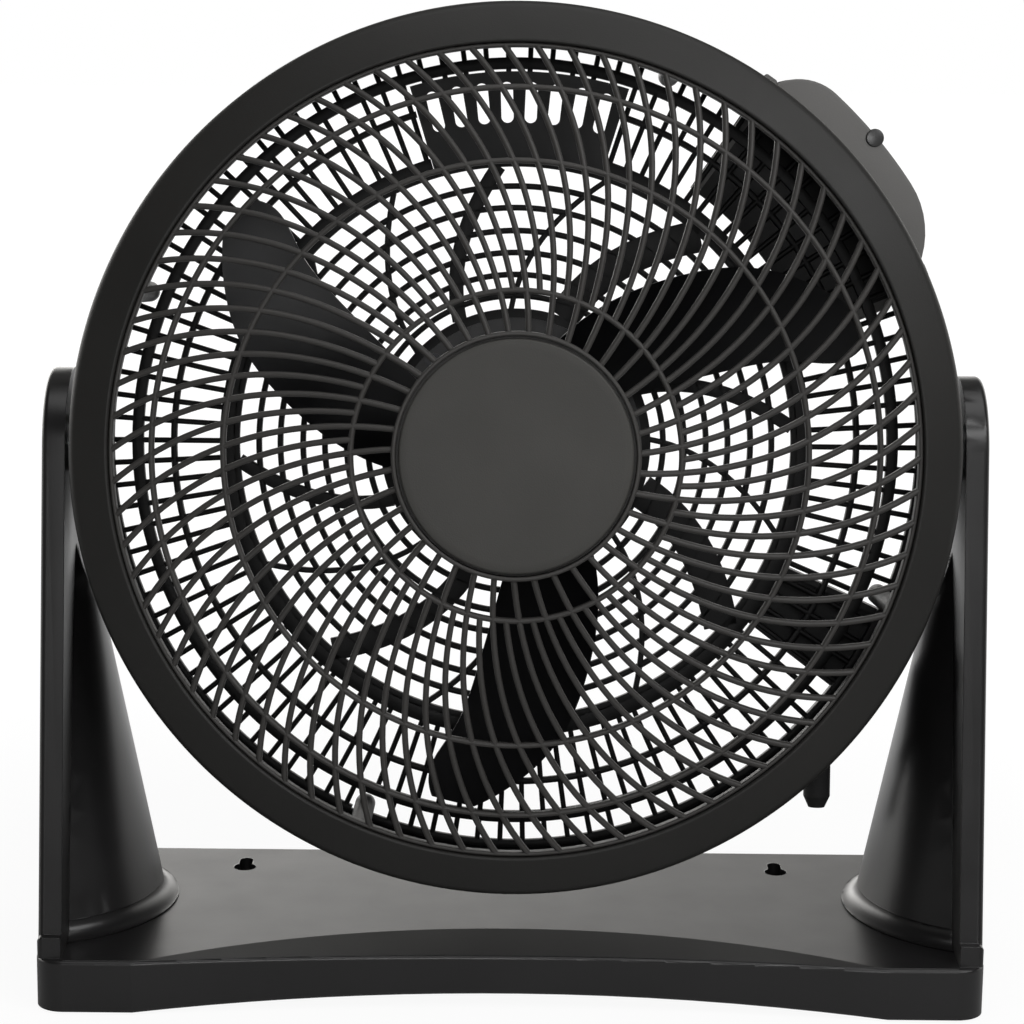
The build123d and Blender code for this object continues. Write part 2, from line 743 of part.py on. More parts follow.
with BuildPart() as blade_nut:
    with BuildSketch(head.offset(blade_hub_front)):
        RegularPolygon(nut_radius, 6)
        Circle(shaft_radius, mode=Mode.SUBTRACT)
    extrude(amount=nut_length)
save(blade_nut, "blade_nut")

# ---- tilt pivot: shoulder pins through the columns into the housing's bosses ----
pin_seat = column_outer - pin_seat_depth
with BuildPart() as pivot_pins:
    for side in (-1, 1):
        with BuildSketch(side_face.offset(side * (boss_outer - pivot_boss_depth + ring_wall))):
            Circle(pin_radius)
        extrude(amount=side * (pin_seat - boss_outer + pivot_boss_depth - ring_wall))
        with BuildSketch(side_face.offset(side * pin_seat)):
            Circle(pin_head_radius)
        extrude(amount=side * pin_head_thickness)
save(pivot_pins, "pivot_pins")

with BuildPart() as friction_washers:
    for side in (-1, 1):
        with BuildSketch(side_face.offset(side * boss_outer)):
            Circle(washer_radius)
            Circle(pin_radius + running_gap, mode=Mode.SUBTRACT)
        extrude(amount=side * (column_inner - boss_outer))
save(friction_washers, "friction_washers")

cap_seat = pin_seat + pin_head_thickness + cap_clearance
with BuildPart() as pivot_caps:
    for side in (-1, 1):
        with BuildSketch(side_face.offset(side * cap_seat)):
            Circle(pin_head_radius + cap_clearance)
        extrude(amount=side * (column_outer - cap_seat))
save(pivot_caps, "pivot_caps")

# ---- control pod ----
pod_back = housing_back - pod_depth


def pod_outline(inset):
    """The pod's outline, drawn in by this much."""
    turn = degrees(inset / pod_radii[1])
    with BuildSketch(mode=Mode.PRIVATE) as outline:
        add(sector(pod_radii[0] + inset, pod_radii[1] - inset, pod_angles[0] + turn, pod_angles[1] - turn))
        far_corners = [v for v in outline.vertices() if Vector(v).length > sum(pod_radii) / 2]
        fillet(far_corners, pod_corner - inset)
    return outline.sketch


pod_middle = (pod_angles[0] + pod_angles[1]) / 2
notch_place = Location(polar(pod_radii[1], pod_middle), pod_middle)
with BuildPart() as pod_housing:
    with BuildSketch(head.offset(housing_back)):
        add(pod_outline(0))
        with Locations(notch_place):
            Rectangle(2 * pod_notch_depth, pod_notch_width, mode=Mode.SUBTRACT)
    extrude(amount=-pod_depth)
    with BuildSketch(head.offset(housing_back - pod_wall)):
        add(pod_outline(pod_wall))
        with Locations(notch_place):
            Rectangle(
                2 * (pod_notch_depth + pod_wall), pod_notch_width + 2 * pod_wall, mode=Mode.SUBTRACT
            )
    extrude(amount=pod_wall - pod_depth, mode=Mode.SUBTRACT)
    with BuildSketch(head.offset(housing_back)):
        for radius, angle in pod_tabs:
            with Locations(Location(polar(radius - pod_tab_size[1] / 2, angle), angle)):
                Rectangle(pod_tab_size[1], pod_tab_size[0])
    extrude(amount=-pod_tab_size[2])
    with BuildSketch(head.offset(housing_back - pod_wall)):
        with Locations(*[polar(r, a) for r, a in pod_screw_places]):
            Circle(pod_post_radius)
    extrude(amount=pod_wall - pod_depth)
    with BuildSketch(head.offset(pod_back)):
        with Locations(*[polar(r, a) for r, a in pod_screw_places]):
            Circle(screw_radius)
    extrude(amount=pod_depth - 2 * pod_wall, mode=Mode.SUBTRACT)
save(pod_housing, "pod_housing")

with BuildPart() as pod_cover:
    with BuildSketch(head.offset(pod_back)):
        add(pod_outline(0))
        with Locations(notch_place):
            Rectangle(2 * pod_notch_depth, pod_notch_width, mode=Mode.SUBTRACT)
        with Locations(polar(*knob_place)):
            Circle(switch_stem_radius + stem_clearance, mode=Mode.SUBTRACT)
        with Locations(*[polar(r, a) for r, a in pod_screw_places]):
            Circle(screw_radius, mode=Mode.SUBTRACT)
    extrude(amount=-pod_cover_thickness)
save(pod_cover, "pod_cover")
cover_face = pod_back - pod_cover_thickness

with BuildPart() as pod_screws:
    with BuildSketch(head.offset(cover_face)):
        with Locations(*[polar(r, a) for r, a in pod_screw_places]):
            Circle(screw_head_radius)
    extrude(amount=-screw_head_height)
    with BuildSketch(head.offset(cover_face)):
        with Locations(*[polar(r, a) for r, a in pod_screw_places]):
            Circle(screw_radius)
    extrude(amount=pod_cover_thickness + pod_depth - 2 * pod_wall)
save(pod_screws, "pod_screws")

latch_radius = pod_notch_width / 2 - handle_fit
with BuildPart() as pod_latch:
    with BuildSketch(head.offset(housing_back)):
        with Locations(polar(pod_radii[1] - pod_notch_depth + latch_radius, pod_middle)):
            Circle(latch_radius)
    extrude(amount=-(pod_depth + pod_cover_thickness))
save(pod_latch, "pod_latch")

# ---- speed switch with its stem and knob ----
switch_place = Location(polar(*knob_place), knob_place[1])
with BuildPart() as speed_switch:
    with BuildSketch(head.offset(pod_back)):
        with Locations(switch_place):
            Rectangle(switch_size[0], switch_size[1])
            Circle(switch_stem_radius + running_gap, mode=Mode.SUBTRACT)
    extrude(amount=switch_size[2])
save(speed_switch, "speed_switch")

with BuildPart() as switch_stem:
    with BuildSketch(head.offset(pod_back + switch_size[2] - stem_root)):
        with Locations(switch_place):
            Circle(switch_stem_radius)
    extrude(amount=-(switch_size[2] - stem_root + pod_cover_thickness + knob_height - knob_top))
save(switch_stem, "switch_stem")

with BuildPart() as speed_knob:
    with BuildSketch(head.offset(cover_face - knob_lift)):
        with Locations(switch_place):
            Circle(knob_radius)
    extrude(amount=-knob_skirt)
    with BuildSketch(head.offset(cover_face - knob_lift)):
        with Locations(switch_place):
            SlotOverall(2 * (knob_radius - knob_rim), knob_grip)
    extrude(amount=knob_lift - knob_height)
    with BuildSketch(head.offset(cover_face)):
        with Locations(switch_place):
            Circle(switch_stem_radius)
    extrude(amount=-(knob_height - knob_top), mode=Mode.SUBTRACT)
save(speed_knob, "speed_knob")

with BuildPart() as capacitor:
    with BuildSketch(head.offset(housing_back - pod_wall)):
        with Locations(Location(polar(*capacitor_place), capacitor_place[1])):
            Rectangle(capacitor_size[0], capacitor_size[1])
    extrude(amount=-capacitor_size[2])
save(capacitor, "capacitor")

# ---- cable box and cord gland ----
gland_mouth = gland_tip + gland_length


def box_outline(inset):
    """The cable box, the duct along the ring and the square outlet, drawn in by this much."""
    turn = degrees(inset / box_radii[0])
    inner, outer = box_radii[0] + inset, box_radii[1] - inset
    duct_outer = duct_radii[1] - inset
    with BuildSketch(mode=Mode.PRIVATE) as outline:
        add(sector(inner, outer, box_angles[0] + turn, box_angles[1] - turn))
        add(sector(inner, duct_outer, box_angles[0] + turn, duct_angles[1] - turn))
        add(sector(duct_radii[0] + inset, duct_outer, duct_angles[0] + turn, duct_angles[1] - turn))
        with Locations((gland_x, (gland_mouth + outlet_top) / 2)):
            Rectangle(outlet_width - 2 * inset, outlet_top - gland_mouth - 2 * inset)
    return outline.sketch


gland_plane = Plane(
    origin=head.from_local_coords((gland_x, gland_mouth, housing_back - (box_depth - pod_wall) / 2)),
    x_dir=head.x_dir,
    z_dir=-head.y_dir,
)
with BuildPart() as cable_box:
    with BuildSketch(head.offset(housing_back)):
        add(box_outline(0))
    extrude(amount=-box_depth)
    with BuildSketch(head.offset(housing_back)):
        add(box_outline(pod_wall))
    extrude(amount=pod_wall - box_depth, mode=Mode.SUBTRACT)
    with BuildSketch(gland_plane):
        Circle(gland_collar)
    extrude(amount=-2 * pod_wall, mode=Mode.SUBTRACT)
save(cable_box, "cable_box")

with BuildPart() as cord_gland:
    with BuildSketch(gland_plane.offset(-pod_wall)):
        Circle(gland_collar)
    extrude(amount=pod_wall)
    with BuildSketch(gland_plane.offset(-pod_wall - gland_flange)):
        Circle(gland_flange_radius)
    extrude(amount=gland_flange)
    with BuildSketch(gland_plane):
        Circle(gland_radius)
    extrude(amount=gland_length - gland_taper)
    with BuildSketch(gland_plane.offset(gland_length - gland_taper)):
        Circle(gland_radius)
    with BuildSketch(gland_plane.offset(gland_length)):
        Circle(gland_tip_radius)
    loft()
    with BuildSketch(gland_plane.offset(-pod_wall - gland_flange)):
        Circle(gland_bore)
    extrude(amount=gland_length + pod_wall + gland_flange, mode=Mode.SUBTRACT)
save(cord_gland, "cord_gland")

# ---- base: an open shell with a hollowed front, a sloping facet and two keyholes ----
half_depth = base_depth / 2
half_width = column_outer + base_ledge
facet_chord_sag = facet_setback + front_hollow * (facet_half / front_hollow_half) ** 2
facet_radius = (facet_half**2 + facet_chord_sag**2) / (2 * facet_chord_sag)
facet_centre = -half_depth + front_hollow + facet_setback - facet_radius
facet_slope = facet_setback / facet_drop  # how fast the cone widens upwards
keyhole_places = ((-keyhole_spacing / 2, keyhole_y), (keyhole_spacing / 2, keyhole_y))
foot_places = [(x, y) for x in (-foot_x, foot_x) for y in (-foot_y, foot_y)]
column_screw_places = [(x * side, y) for side in (-1, 1) for x, y in column_screws]


def base_outline():
    """Footprint of the base, with its front edge drawn back in an arc."""
    with BuildSketch(mode=Mode.PRIVATE) as outline:
        with BuildLine():
            hollow = ThreePointArc(
                (-front_hollow_half, -half_depth),
                (0, front_hollow - half_depth),
                (front_hollow_half, -half_depth),
            )
            Polyline(
                hollow @ 1,
                (half_width, -half_depth),
                (half_width, half_depth),
                (-half_width, half_depth),
                (-half_width, -half_depth),
                hollow @ 0,
            )
        make_face()
        corners = outline.vertices().filter_by(lambda v: abs(v.X) > column_outer)
        fillet(corners.group_by(Axis.Y)[-1], rear_corner)
        corners = outline.vertices().filter_by(lambda v: abs(v.X) > column_outer)
        fillet(corners.group_by(Axis.Y)[0], front_corner)
    return outline.sketch


def facet_cone(drop, mode):
    """The cone that shapes the front facet, set this much lower."""
    bottom = base_height - facet_drop - 2 * base_wall
    with Locations((0, facet_centre, bottom - drop)):
        Cone(
            facet_radius - facet_slope * (base_height - bottom),
            facet_radius + facet_slope * facet_drop,
            base_height - bottom + facet_drop,
            align=(Align.CENTER, Align.CENTER, Align.MIN),
            mode=mode,
        )


def inset_outline(inset):
    """The base's footprint, drawn in by this much."""
    with BuildSketch(mode=Mode.PRIVATE) as outline:
        add(base_outline())
        offset(amount=-inset)
    return outline.sketch


def keyhole(margin):
    """Keyholes with this margin: a round mouth and a slot towards the back."""
    with BuildSketch(mode=Mode.PRIVATE) as holes:
        with Locations(*keyhole_places):
            Circle(keyhole_head_radius + margin)
        with Locations(*[(x, y + keyhole_travel / 2) for x, y in keyhole_places]):
            Rectangle(keyhole_slot + 2 * margin, keyhole_travel)
        with Locations(*[(x, y + keyhole_travel) for x, y in keyhole_places]):
            Circle(keyhole_slot / 2 + margin)
    return holes.sketch


with BuildPart() as base_cavity:
    with BuildSketch():
        add(inset_outline(base_wall))
    extrude(amount=base_height - base_wall)
    facet_cone(base_wall, Mode.SUBTRACT)

# The facet and the groove lie behind the front rim.
with BuildPart() as facet_cut:
    with BuildSketch():
        add(inset_outline(seam[1]))
    extrude(amount=base_height)
    facet_cone(0, Mode.INTERSECT)

with BuildPart() as seam_cut:
    with BuildSketch(Plane.XY.offset(base_height - seam[2])):
        add(inset_outline(seam[0]))
        add(inset_outline(seam[1]), mode=Mode.SUBTRACT)
        with Locations((0, -half_depth)):
            Rectangle(2 * (half_width - front_corner), base_depth, mode=Mode.INTERSECT)
    extrude(amount=seam[2])

with BuildPart() as base:
    with BuildSketch(Plane.XY.offset(foot_height)):
        add(base_outline())
    extrude(amount=base_height - foot_height)
    fillet(base.faces().sort_by(Axis.Z)[-1].edges(), base_edge)
    add(facet_cut.part, mode=Mode.SUBTRACT)
    add(seam_cut.part, mode=Mode.SUBTRACT)
    add(base_cavity.part, mode=Mode.SUBTRACT)
    with BuildSketch(Plane.XY.offset(rib_bottom)):
        with GridLocations(2 * arch_half / rib_count, 1, rib_count, 1):
            with Locations((0, (half_depth + rib_front) / 2 - base_wall / 2)):
                Rectangle(rib_thickness, half_depth - rib_front - base_wall)
    extrude(amount=base_height - base_wall - rib_bottom)
    with BuildSketch(Plane.XY.offset(rib_bottom)):
        add(keyhole(keyhole_collar))
    extrude(amount=base_height - base_wall - rib_bottom)
    with BuildSketch(Plane.XY.offset(foot_pad_thickness)):
        with Locations(*foot_places):
            Circle(foot_pad_radius + rib_thickness)
    extrude(amount=base_height - base_wall - foot_pad_thickness)
    with BuildSketch():
        add(keyhole(0))
    extrude(amount=base_height, mode=Mode.SUBTRACT)
    with BuildSketch(Plane.XY.offset(base_height - 2 * base_wall)):
        with Locations(*column_screw_places):
            Circle(screw_radius)
    extrude(amount=2 * base_wall, mode=Mode.SUBTRACT)
    with BuildSketch(Plane.XZ.offset(-base_depth)):
        with BuildLine():
            arch = ThreePointArc(
                (-arch_half, foot_height), (0, foot_height + arch_height), (arch_half, foot_height)
            )
            Polyline(arch @ 1, (arch_half, 0), (-arch_half, 0), arch @ 0)
        make_face()
    extrude(amount=2 * base_depth, mode=Mode.SUBTRACT)
save(base, "base")

# ---- columns: tapered side plates that swell into half cones at the foot ----
sweep_radius = sqrt(ring_radius**2 + bezel_shoulder**2) + sweep_gap


def column_plate(inner, outer, inset):
    """The side plate between two distances from the middle, drawn in all round by this much."""
    toe_out, toe_height = column_toe
    with BuildPart() as plate:
        with BuildSketch(Plane.YZ.offset(inner)):
            with Locations((0, pivot_height)):
                Circle(column_top_radius - inset)
            with Locations((0, base_height + column_edge / 2)):
                Rectangle(column_foot_depth - 2 * inset, column_edge)
            make_hull()
            with Locations((0, base_height + (toe_height - inset) / 2)):
                Rectangle(column_foot_depth + 2 * (toe_out - inset), toe_height - inset)
        extrude(amount=outer - inner)
    return plate.part


def column_bulge(inset, flared):
    """The half cone on the plate's inner side, drawn in by this much, with or without its flare."""
    foot_radius = (bulge_reach**2 + bulge_half_depth**2) / (2 * bulge_reach) - inset
    top_radius = foot_radius - bulge_reach
    cone_centre = column_inner + top_radius + inset
    toe_top = base_height + bulge_toe
    flare_top = toe_top + bulge_flare
    flare_radius = foot_radius + bulge_flare
    hollow_step = bulge_flare * (1 - sqrt(0.5))
    with BuildPart() as bulge:
        with BuildSketch(Plane(origin=(cone_centre, bulge_y, 0), x_dir=(1, 0, 0), z_dir=(0, -1, 0))):
            with BuildLine():
                Polyline(
                    (0, base_height),
                    (foot_radius, base_height),
                    (foot_radius, flare_top),
                    (top_radius, bulge_top),
                    (0, bulge_top),
                    close=True,
                )
            make_face()
            if flared:
                with BuildLine():
                    Polyline(
                        (foot_radius, flare_top),
                        (foot_radius, base_height),
                        (flare_radius, base_height),
                        (flare_radius, toe_top),
                    )
                    ThreePointArc(
                        (flare_radius, toe_top),
                        (foot_radius + hollow_step, toe_top + hollow_step),
                        (foot_radius, flare_top),
                    )
                make_face()
        revolve(axis=Axis((cone_centre, bulge_y, 0), (0, 0, 1)))
        split(bisect_by=Plane(origin=(column_inner, 0, 0), z_dir=(-1, 0, 0)), keep=Keep.TOP)
        with Locations(head.origin):
            Sphere(sweep_radius + inset, mode=Mode.SUBTRACT)
    return bulge.part


with BuildPart() as column_cavity:
    add(column_plate(column_inner + column_wall, column_outer - column_wall, column_wall))
    add(column_bulge(column_wall, False))
    with BuildSketch(Plane.YZ.offset(column_inner)):
        with Locations((bulge_y, base_height + bulge_half_depth / 2)):
            Rectangle(2 * (bulge_half_depth - 3 * column_wall), bulge_half_depth)
    extrude(amount=column_wall)
    with BuildSketch(Plane.YZ.offset(column_inner)):
        with Locations((0, pivot_height)):
            Circle(pin_head_radius + 2 * column_wall)
    extrude(amount=column_thickness, mode=Mode.SUBTRACT)
    with BuildSketch(Plane.XY.offset(base_height)):
        for x, y in column_screws:
            with Locations((x, y)):
                Circle(screw_radius + column_wall)
            with Locations(((x + column_outer) / 2, y)):
                Rectangle(column_outer - x, column_wall)
    extrude(amount=column_screw_length, mode=Mode.SUBTRACT)

with BuildPart() as right_column:
    add(column_plate(column_inner, column_outer, 0))
    outer_face = right_column.faces().sort_by(Axis.X)[-1]
    outer_rim = outer_face.edges().filter_by(lambda e: (e @ 0.5).Z > base_height + column_edge)
    fillet(outer_rim, column_edge)
    add(column_bulge(0, True))
    add(column_cavity.part, mode=Mode.SUBTRACT)
    with BuildSketch(Plane.YZ.offset(column_inner)):
        with Locations((0, pivot_height)):
            Circle(pin_radius + running_gap)
    extrude(amount=column_thickness, mode=Mode.SUBTRACT)
    with BuildSketch(Plane.YZ.offset(pin_seat)):
        with Locations((0, pivot_height)):
            Circle(pin_head_radius + cap_clearance)
    extrude(amount=pin_seat_depth, mode=Mode.SUBTRACT)
    with BuildSketch(Plane.XY.offset(base_height)):
        with Locations(*column_screws):
            Circle(screw_radius)
    extrude(amount=column_screw_length - column_wall, mode=Mode.SUBTRACT)
save(right_column, "right_column")

with BuildPart() as left_column:
    mirror(right_column.part, about=Plane.YZ)
save(left_column, "left_column")

# ---- screws from below into the columns, and rubber feet ----
with BuildPart() as base_screws:
    with BuildSketch(Plane.XY.offset(base_height - base_wall)):
        with Locations(*column_screw_places):
            Circle(screw_head_radius)
    extrude(amount=-screw_head_height)
    with BuildSketch(Plane.XY.offset(base_height - base_wall)):
        with Locations(*column_screw_places):
            Circle(screw_radius)
    extrude(amount=base_wall + column_screw_length - 2 * column_wall)
save(base_screws, "base_screws")

with BuildPart() as rubber_feet:
    with BuildSketch():
        with Locations(*foot_places):
            Circle(foot_pad_radius)
    extrude(amount=foot_pad_thickness)
save(rubber_feet, "rubber_feet")
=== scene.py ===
import math

import bpy
import numpy as np
from mathutils import Matrix, Vector


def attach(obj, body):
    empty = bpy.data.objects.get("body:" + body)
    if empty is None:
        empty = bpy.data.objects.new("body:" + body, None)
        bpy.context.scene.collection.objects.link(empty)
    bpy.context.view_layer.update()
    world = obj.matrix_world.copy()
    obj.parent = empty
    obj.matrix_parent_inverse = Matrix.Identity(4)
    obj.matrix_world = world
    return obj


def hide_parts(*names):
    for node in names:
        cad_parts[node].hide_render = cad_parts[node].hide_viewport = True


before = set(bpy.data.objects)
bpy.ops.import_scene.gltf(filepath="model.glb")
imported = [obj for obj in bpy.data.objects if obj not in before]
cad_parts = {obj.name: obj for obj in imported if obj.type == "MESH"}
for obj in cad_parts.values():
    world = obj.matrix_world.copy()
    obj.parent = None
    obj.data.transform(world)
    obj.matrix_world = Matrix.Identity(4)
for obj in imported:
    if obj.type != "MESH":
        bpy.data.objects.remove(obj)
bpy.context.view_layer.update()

# ---- places, in millimetres on the tilted head: x right, y up, f forward along the fan axis ----
TILT = math.radians(7.0)
PIVOT = 228.5
RING = 185.5
OPENING = 168.2
LIP_FRONT = 50.5
SHOULDER = 43.0
JOINT = 12.0
WALL = 2.5
BACK = -30.0
MM = 0.001


def head_point(x, y, f):
    """A point on the head, in metres in the row frame."""
    return (
        x * MM,
        (-f * math.cos(TILT) + y * math.sin(TILT)) * MM,
        (PIVOT + f * math.sin(TILT) + y * math.cos(TILT)) * MM,
    )


def polar(radius, degrees):
    a = math.radians(degrees)
    return (radius * math.cos(a), radius * math.sin(a))


class Shape:
    """Collects vertices and faces of one piece."""

    def __init__(self):
        self.points = []
        self.faces = []

    def add(self, points, faces):
        start = len(self.points)
        self.points.extend(points)
        self.faces.extend([[start + i for i in face] for face in faces])

    def strip(self, sections, closed_path=False, caps=True):
        """Skins a run of sections that all have the same number of points."""
        count = len(sections[0])
        points = [p for s in sections for p in s]
        faces = []
        runs = len(sections) if closed_path else len(sections) - 1
        for i in range(runs):
            a = i * count
            b = ((i + 1) % len(sections)) * count
            for k in range(count):
                n = (k + 1) % count
                faces.append([a + k, a + n, b + n, b + k])
        if caps and not closed_path:
            faces.append(list(range(count))[::-1])
            faces.append([(len(sections) - 1) * count + k for k in range(count)])
        self.add(points, faces)

    def ring(self, profile, steps=192, start=0.0, end=360.0):
        """Turns a closed profile of (radius, station) round the fan axis."""
        full = abs(end - start) >= 360.0
        count = steps if full else max(3, int(steps * (end - start) / 360.0) + 1)
        sections = []
        for i in range(count):
            a = start + (end - start) * i / (count if full else count - 1)
            c, s = math.cos(math.radians(a)), math.sin(math.radians(a))
            sections.append([(r * c, r * s, f) for r, f in profile])
        self.strip(sections, closed_path=full)

    def disc(self, profile, steps=192):
        """Turns an open profile that starts and ends on the fan axis."""
        inner = profile[1:-1]
        count = len(inner)
        points, faces = [], []
        for i in range(steps):
            c, s = math.cos(2 * math.pi * i / steps), math.sin(2 * math.pi * i / steps)
            points.extend([(r * c, r * s, f) for r, f in inner])
        first, last = len(points), len(points) + 1
        points.extend([(0, 0, profile[0][1]), (0, 0, profile[-1][1])])
        for i in range(steps):
            a, b = i * count, ((i + 1) % steps) * count
            faces.append([first, b, a])
            faces.append([last, a + count - 1, b + count - 1])
            for k in range(count - 1):
                faces.append([a + k, b + k, b + k + 1, a + k + 1])
        self.add(points, faces)

    def make(self, name, material, body, nodes=(), angle=35.0, place=head_point):
        """Makes the mesh, seats it in the row frame and hands it to its body."""
        mesh = bpy.data.meshes.new(name)
        mesh.from_pydata([place(*p) for p in self.points], [], self.faces)
        mesh.validate()
        mesh.polygons.foreach_set("use_smooth", [True] * len(mesh.polygons))
        piece = bpy.data.objects.new(name, mesh)
        bpy.context.scene.collection.objects.link(piece)
        bpy.context.view_layer.objects.active = piece
        piece.select_set(True)
        bpy.ops.object.mode_set(mode="EDIT")
        bpy.ops.mesh.select_all(action="SELECT")
        bpy.ops.mesh.normals_make_consistent(inside=False)
        bpy.ops.object.mode_set(mode="OBJECT")
        piece.select_set(False)
        mesh.set_sharp_from_angle(angle=math.radians(angle))
        mesh.materials.append(material)
        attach(piece, body)
        if nodes:
            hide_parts(*nodes)
        return piece


def rounded(corners, steps=5):
    """A closed profile from (x, y, corner radius) points."""
    out = []
    count = len(corners)
    for i, (x, y, radius) in enumerate(corners):
        if radius <= 0:
            out.append((x, y))
            continue
        before = Vector(corners[i - 1][:2]) - Vector((x, y))
        after = Vector(corners[(i + 1) % count][:2]) - Vector((x, y))
        half = before.angle(after) / 2
        reach = min(radius / math.tan(half), before.length * 0.49, after.length * 0.49)
        radius = reach * math.tan(half)
        a = Vector((x, y)) + before.normalized() * reach
        b = Vector((x, y)) + after.normalized() * reach
        middle = (before.normalized() + after.normalized()).normalized()
        centre = Vector((x, y)) + middle * (radius / math.sin(half))
        va, vb = a - centre, b - centre
        turn = va.angle_signed(vb)
        for k in range(steps + 1):
            w = -turn * k / steps
            c, s = math.cos(w), math.sin(w)
            out.append((centre.x + va.x * c - va.y * s, centre.y + va.x * s + va.y * c))
    return out


def bar_section(width, back, front, nose=0.7, heel=0.35):
    """A bar's rounded cross-section as (side, station)."""
    half = width / 2
    corners = [(-half, back, heel), (half, back, heel), (half, front, nose), (-half, front, nose)]
    return rounded(corners, 3)


# ---- materials ----
def plastic(name, colour, rough, grain=0.12, grain_size=1500.0, spread=0.25, gloss=0.5):
    """Moulded plastic with a fine grain, uneven sheen and slightly uneven colour."""
    m = bpy.data.materials.new(name)
    m.use_nodes = True
    nodes, links = m.node_tree.nodes, m.node_tree.links
    shader = nodes["Principled BSDF"]
    shader.inputs["Base Color"].default_value = (*colour, 1)
    shader.inputs["Roughness"].default_value = rough
    shader.inputs["Specular IOR Level"].default_value = gloss
    place = nodes.new("ShaderNodeTexCoord")
    cloud = nodes.new("ShaderNodeTexNoise")
    cloud.inputs["Scale"].default_value = 14.0
    cloud.inputs["Detail"].default_value = 5.0
    ramp = nodes.new("ShaderNodeValToRGB")
    ramp.color_ramp.elements[0].position = 0.3
    ramp.color_ramp.elements[1].position = 0.7
    ramp.color_ramp.elements[0].color = (*[c * (1 - spread / 2) for c in colour], 1)
    ramp.color_ramp.elements[1].color = (*[c * (1 + spread / 2) for c in colour], 1)
    smear = nodes.new("ShaderNodeTexNoise")
    smear.inputs["Scale"].default_value = 45.0
    smear.inputs["Detail"].default_value = 4.0
    sheen = nodes.new("ShaderNodeMapRange")
    sheen.inputs["To Min"].default_value = max(0.05, rough - 0.06)
    sheen.inputs["To Max"].default_value = min(1.0, rough + 0.06)
    fine = nodes.new("ShaderNodeTexNoise")
    fine.inputs["Scale"].default_value = grain_size
    fine.inputs["Detail"].default_value = 2.0
    bump = nodes.new("ShaderNodeBump")
    bump.inputs["Strength"].default_value = grain
    bump.inputs["Distance"].default_value = 0.0002
    for texture in (cloud, smear, fine):
        links.new(place.outputs["Object"], texture.inputs["Vector"])
    links.new(cloud.outputs["Fac"], ramp.inputs["Fac"])
    links.new(ramp.outputs["Color"], shader.inputs["Base Color"])
    links.new(smear.outputs["Fac"], sheen.inputs["Value"])
    links.new(sheen.outputs["Result"], shader.inputs["Roughness"])
    links.new(fine.outputs["Fac"], bump.inputs["Height"])
    links.new(bump.outputs["Normal"], shader.inputs["Normal"])
    return m


def metal(name, colour, rough, streak=300.0, spread=0.2):
    """Bare or plated metal with fine streaks."""
    m = plastic(name, colour, rough, grain=0.08, grain_size=streak, spread=spread)
    m.node_tree.nodes["Principled BSDF"].inputs["Metallic"].default_value = 1.0
    return m


COARSE = 1800.0
bezel_look = plastic(
    "bezel_plastic_look", (0.0155, 0.0150, 0.0140), 0.5, grain=0.25, grain_size=COARSE, gloss=0.32
)
cap_look = plastic(
    "cap_plastic_look", (0.048, 0.0467, 0.0430), 0.55, grain=0.3, grain_size=COARSE, gloss=0.35
)
bars_look = plastic("grille_plastic_look", (0.043, 0.041, 0.039), 0.46, grain=0.1, gloss=0.3)
housing_look = plastic("housing_plastic_look", (0.007, 0.007, 0.0074), 0.52, grain=0.2, gloss=0.3)
grille_look = plastic("rear_grille_look", (0.0055, 0.0054, 0.0056), 0.5, grain=0.1, gloss=0.25)
pod_look = plastic("pod_plastic_look", (0.125, 0.122, 0.118), 0.5, grain=0.25, gloss=0.35)
stand_look = plastic("stand_plastic_look", (0.0112, 0.0108, 0.0112), 0.32, grain=0.1, spread=0.3)
blade_look = plastic(
    "blade_plastic_look", (0.0036, 0.0036, 0.0044), 0.34, grain=0.05, grain_size=900.0, gloss=0.35
)
knob_look = plastic("knob_plastic_look", (0.03, 0.03, 0.03), 0.3, grain=0.05)
switch_look = plastic("switch_plastic_look", (0.42, 0.41, 0.38), 0.5, grain=0.1)
rubber_look = plastic("rubber_look", (0.012, 0.012, 0.012), 0.8, grain=0.4, grain_size=2600.0)
steel_look = metal("steel_look", (0.52, 0.52, 0.53), 0.32)
bell_look = plastic("motor_paint_look", (0.010, 0.010, 0.011), 0.45, grain=0.3)
dark_steel_look = metal("dark_steel_look", (0.035, 0.035, 0.037), 0.4)
core_look = metal("lamination_look", (0.25, 0.25, 0.26), 0.55, streak=1200.0)
copper_look = metal("copper_look", (0.62, 0.27, 0.12), 0.35, streak=2500.0)
bronze_look = metal("bronze_look", (0.5, 0.36, 0.16), 0.4)

LOOKS = {
    "front_bezel": bezel_look, "front_grille": bars_look, "hub_cap": cap_look,
    "rear_housing": housing_look, "rear_grille": grille_look, "carry_handle": housing_look,
    "motor_cover": housing_look, "cable_box": housing_look, "pod_latch": housing_look,
    "pod_housing": pod_look, "pod_cover": pod_look, "base": stand_look, "left_column": stand_look,
    "right_column": stand_look, "pivot_caps": stand_look, "fan_blade": blade_look,
    "blade_nut": knob_look, "speed_knob": knob_look, "speed_switch": switch_look,
    "capacitor": switch_look, "switch_stem": switch_look, "rubber_feet": rubber_look,
    "cord_gland": rubber_look, "motor_front_bell": bell_look, "motor_rear_bell": bell_look,
    "motor_screws": dark_steel_look, "motor_bolts": dark_steel_look, "housing_screws": dark_steel_look,
    "stator": core_look, "rotor_core": core_look, "windings": copper_look, "bearings": bronze_look,
}
for node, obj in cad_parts.items():
    obj.data.materials.clear()
    obj.data.materials.append(LOOKS.get(node, steel_look))


def round_normals(look, radius):
    """Shades sharp edges as if they were rounded."""
    nodes, links = look.node_tree.nodes, look.node_tree.links
    edge = nodes.new("ShaderNodeBevel")
    edge.samples = 6
    edge.inputs["Radius"].default_value = radius * MM
    links.new(edge.outputs["Normal"], nodes["Bump"].inputs["Normal"])


